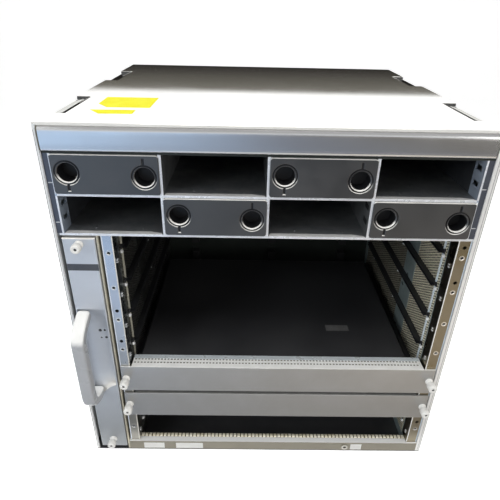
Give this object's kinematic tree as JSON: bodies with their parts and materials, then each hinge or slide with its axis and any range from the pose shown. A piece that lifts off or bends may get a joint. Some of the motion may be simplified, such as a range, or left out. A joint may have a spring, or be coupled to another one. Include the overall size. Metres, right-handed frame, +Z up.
{
  "type": "modular chassis switch",
  "caption": "Rack-mount modular switch casing with a card cage, side fan tray on a bow handle, power bays with removable blanks, slot blanks and captive screws.",
  "frame": {"origin": "middle of the flat underside of the casing", "axes": "+X to the right seen from the front, +Y to the back, +Z up"},
  "size_m": [0.4394, 0.45, 0.4422],
  "materials": {
    "casing_sheet": "satin light grey paint",
    "bezel_silver": "satin silver paint",
    "sill_steel": "zinc plated",
    "contact_strip": "bright spring strip",
    "jack_metal": "nickel plated",
    "zinc_sheet": "zinc plated sheet, dulled",
    "rail_zinc": "zinc plated with a yellow and blue cast",
    "cage_sheet": "zinc plated sheet, dulled",
    "guide_plastic": "black moulding",
    "circuit_board": "dark green solder mask",
    "connector_plastic": "black moulding",
    "tray_panel_paint": "satin blue-grey paint",
    "handle_plastic": "smooth light grey",
    "fan_plastic": "black moulding",
    "blank_face_steel": "satin mid grey",
    "baffle_black": "smooth black sheet",
    "power_blank_plastic": "textured dark grey moulding",
    "knob_metal": "pale satin metal"
  },
  "bodies": {
    "chassis": {"backplane": "circuit_board", "backplane_connectors": "connector_plastic", "base_pan": "casing_sheet", "bottom_sill": "sill_steel", "card_guides_left": "guide_plastic", "card_guides_right": "guide_plastic", "emi_gasket": "contact_strip", "fan_bay_wall": "zinc_sheet", "fan_runner_low": "zinc_sheet", "fan_runner_top": "zinc_sheet", "front_bezel": "bezel_silver", "ground_jack": "jack_metal", "left_cage_wall": "cage_sheet", "left_rail": "rail_zinc", "left_side_panel": "casing_sheet", "power_inlets": "connector_plastic", "psu_backplane": "circuit_board", "psu_ceiling": "zinc_sheet", "psu_connectors": "connector_plastic", "psu_dividers": "zinc_sheet", "psu_shelf_low": "zinc_sheet", "psu_shelf_mid": "zinc_sheet", "psu_side_left": "zinc_sheet", "psu_side_right": "zinc_sheet", "rear_panel": "casing_sheet", "rear_service_cover": "casing_sheet", "right_cage_wall": "cage_sheet", "right_rail": "rail_zinc", "right_side_panel": "casing_sheet", "top_cover": "casing_sheet"},
    "fan_tray": {"fan_tray_panel": "tray_panel_paint", "fan_tray_handle": "handle_plastic", "fan_tray_frame": "zinc_sheet", "fan_tray_board": "circuit_board", "fan_housings": "fan_plastic"},
    "fan_1": {"fan_rotor_1": "fan_plastic"},
    "fan_2": {"fan_rotor_2": "fan_plastic"},
    "fan_3": {"fan_rotor_3": "fan_plastic"},
    "fan_4": {"fan_rotor_4": "fan_plastic"},
    "fan_5": {"fan_rotor_5": "fan_plastic"},
    "fan_6": {"fan_rotor_6": "fan_plastic"},
    "fan_7": {"fan_rotor_7": "fan_plastic"},
    "fan_8": {"fan_rotor_8": "fan_plastic"},
    "slot_blank_5": {"slot_blank_5_face": "blank_face_steel", "slot_blank_5_tray": "baffle_black", "slot_blank_5_gasket": "contact_strip"},
    "slot_blank_6": {"slot_blank_6_face": "blank_face_steel", "slot_blank_6_tray": "baffle_black", "slot_blank_6_gasket": "contact_strip"},
    "power_blank_1": {"psu_blank_1": "power_blank_plastic"},
    "power_blank_2": {"psu_blank_2": "power_blank_plastic"},
    "power_blank_3": {"psu_blank_3": "power_blank_plastic"},
    "power_blank_4": {"psu_blank_4": "power_blank_plastic"},
    "tray_screw_top_body": {"tray_screw_top": "knob_metal"},
    "tray_screw_low_body": {"tray_screw_low": "knob_metal"},
    "slot_5_screw_left_body": {"slot_5_screw_left": "knob_metal"},
    "slot_5_screw_right_body": {"slot_5_screw_right": "knob_metal"},
    "slot_6_screw_left_body": {"slot_6_screw_left": "knob_metal"},
    "slot_6_screw_right_body": {"slot_6_screw_right": "knob_metal"}
  },
  "joints": [
    {"name": "fan_tray_slide", "type": "slide", "parent": "chassis", "child": "fan_tray", "axis": [0, -1, 0], "range_m": [0, 0.4]},
    {"name": "fan_1_spin", "type": "hinge", "parent": "fan_tray", "child": "fan_1", "pos_m": [-0.1906, -0.115, 0.06468], "axis": [1, 0, 0], "continuous": true},
    {"name": "fan_2_spin", "type": "hinge", "parent": "fan_tray", "child": "fan_2", "pos_m": [-0.1906, -0.115, 0.13363], "axis": [1, 0, 0], "continuous": true},
    {"name": "fan_3_spin", "type": "hinge", "parent": "fan_tray", "child": "fan_3", "pos_m": [-0.1906, -0.115, 0.20259], "axis": [1, 0, 0], "continuous": true},
    {"name": "fan_4_spin", "type": "hinge", "parent": "fan_tray", "child": "fan_4", "pos_m": [-0.1906, -0.115, 0.27154], "axis": [1, 0, 0], "continuous": true},
    {"name": "fan_5_spin", "type": "hinge", "parent": "fan_tray", "child": "fan_5", "pos_m": [-0.1906, 0.035, 0.06468], "axis": [1, 0, 0], "continuous": true},
    {"name": "fan_6_spin", "type": "hinge", "parent": "fan_tray", "child": "fan_6", "pos_m": [-0.1906, 0.035, 0.13363], "axis": [1, 0, 0], "continuous": true},
    {"name": "fan_7_spin", "type": "hinge", "parent": "fan_tray", "child": "fan_7", "pos_m": [-0.1906, 0.035, 0.20259], "axis": [1, 0, 0], "continuous": true},
    {"name": "fan_8_spin", "type": "hinge", "parent": "fan_tray", "child": "fan_8", "pos_m": [-0.1906, 0.035, 0.27154], "axis": [1, 0, 0], "continuous": true},
    {"name": "slot_blank_5_slide", "type": "slide", "parent": "chassis", "child": "slot_blank_5", "axis": [0, -1, 0], "range_m": [0, 0.28]},
    {"name": "slot_blank_6_slide", "type": "slide", "parent": "chassis", "child": "slot_blank_6", "axis": [0, -1, 0], "range_m": [0, 0.28]},
    {"name": "power_blank_1_slide", "type": "slide", "parent": "chassis", "child": "power_blank_1", "axis": [0, -1, 0], "range_m": [0, 0.08]},
    {"name": "power_blank_2_slide", "type": "slide", "parent": "chassis", "child": "power_blank_2", "axis": [0, -1, 0], "range_m": [0, 0.08]},
    {"name": "power_blank_3_slide", "type": "slide", "parent": "chassis", "child": "power_blank_3", "axis": [0, -1, 0], "range_m": [0, 0.08]},
    {"name": "power_blank_4_slide", "type": "slide", "parent": "chassis", "child": "power_blank_4", "axis": [0, -1, 0], "range_m": [0, 0.08]},
    {"name": "tray_screw_top_turn", "type": "hinge", "parent": "fan_tray", "child": "tray_screw_top_body", "pos_m": [-0.1957, -0.213, 0.3165], "axis": [0, 1, 0], "continuous": true},
    {"name": "tray_screw_low_turn", "type": "hinge", "parent": "fan_tray", "child": "tray_screw_low_body", "pos_m": [-0.1957, -0.213, 0.0205], "axis": [0, 1, 0], "continuous": true},
    {"name": "slot_5_screw_left_turn", "type": "hinge", "parent": "slot_blank_5", "child": "slot_5_screw_left_body", "pos_m": [-0.167, -0.213, 0.12997], "axis": [0, 1, 0], "continuous": true},
    {"name": "slot_5_screw_right_turn", "type": "hinge", "parent": "slot_blank_5", "child": "slot_5_screw_right_body", "pos_m": [0.2072, -0.213, 0.12997], "axis": [0, 1, 0], "continuous": true},
    {"name": "slot_6_screw_left_turn", "type": "hinge", "parent": "slot_blank_6", "child": "slot_6_screw_left_body", "pos_m": [-0.167, -0.213, 0.08614], "axis": [0, 1, 0], "continuous": true},
    {"name": "slot_6_screw_right_turn", "type": "hinge", "parent": "slot_blank_6", "child": "slot_6_screw_right_body", "pos_m": [0.2072, -0.213, 0.08614], "axis": [0, 1, 0], "continuous": true}
  ]
}
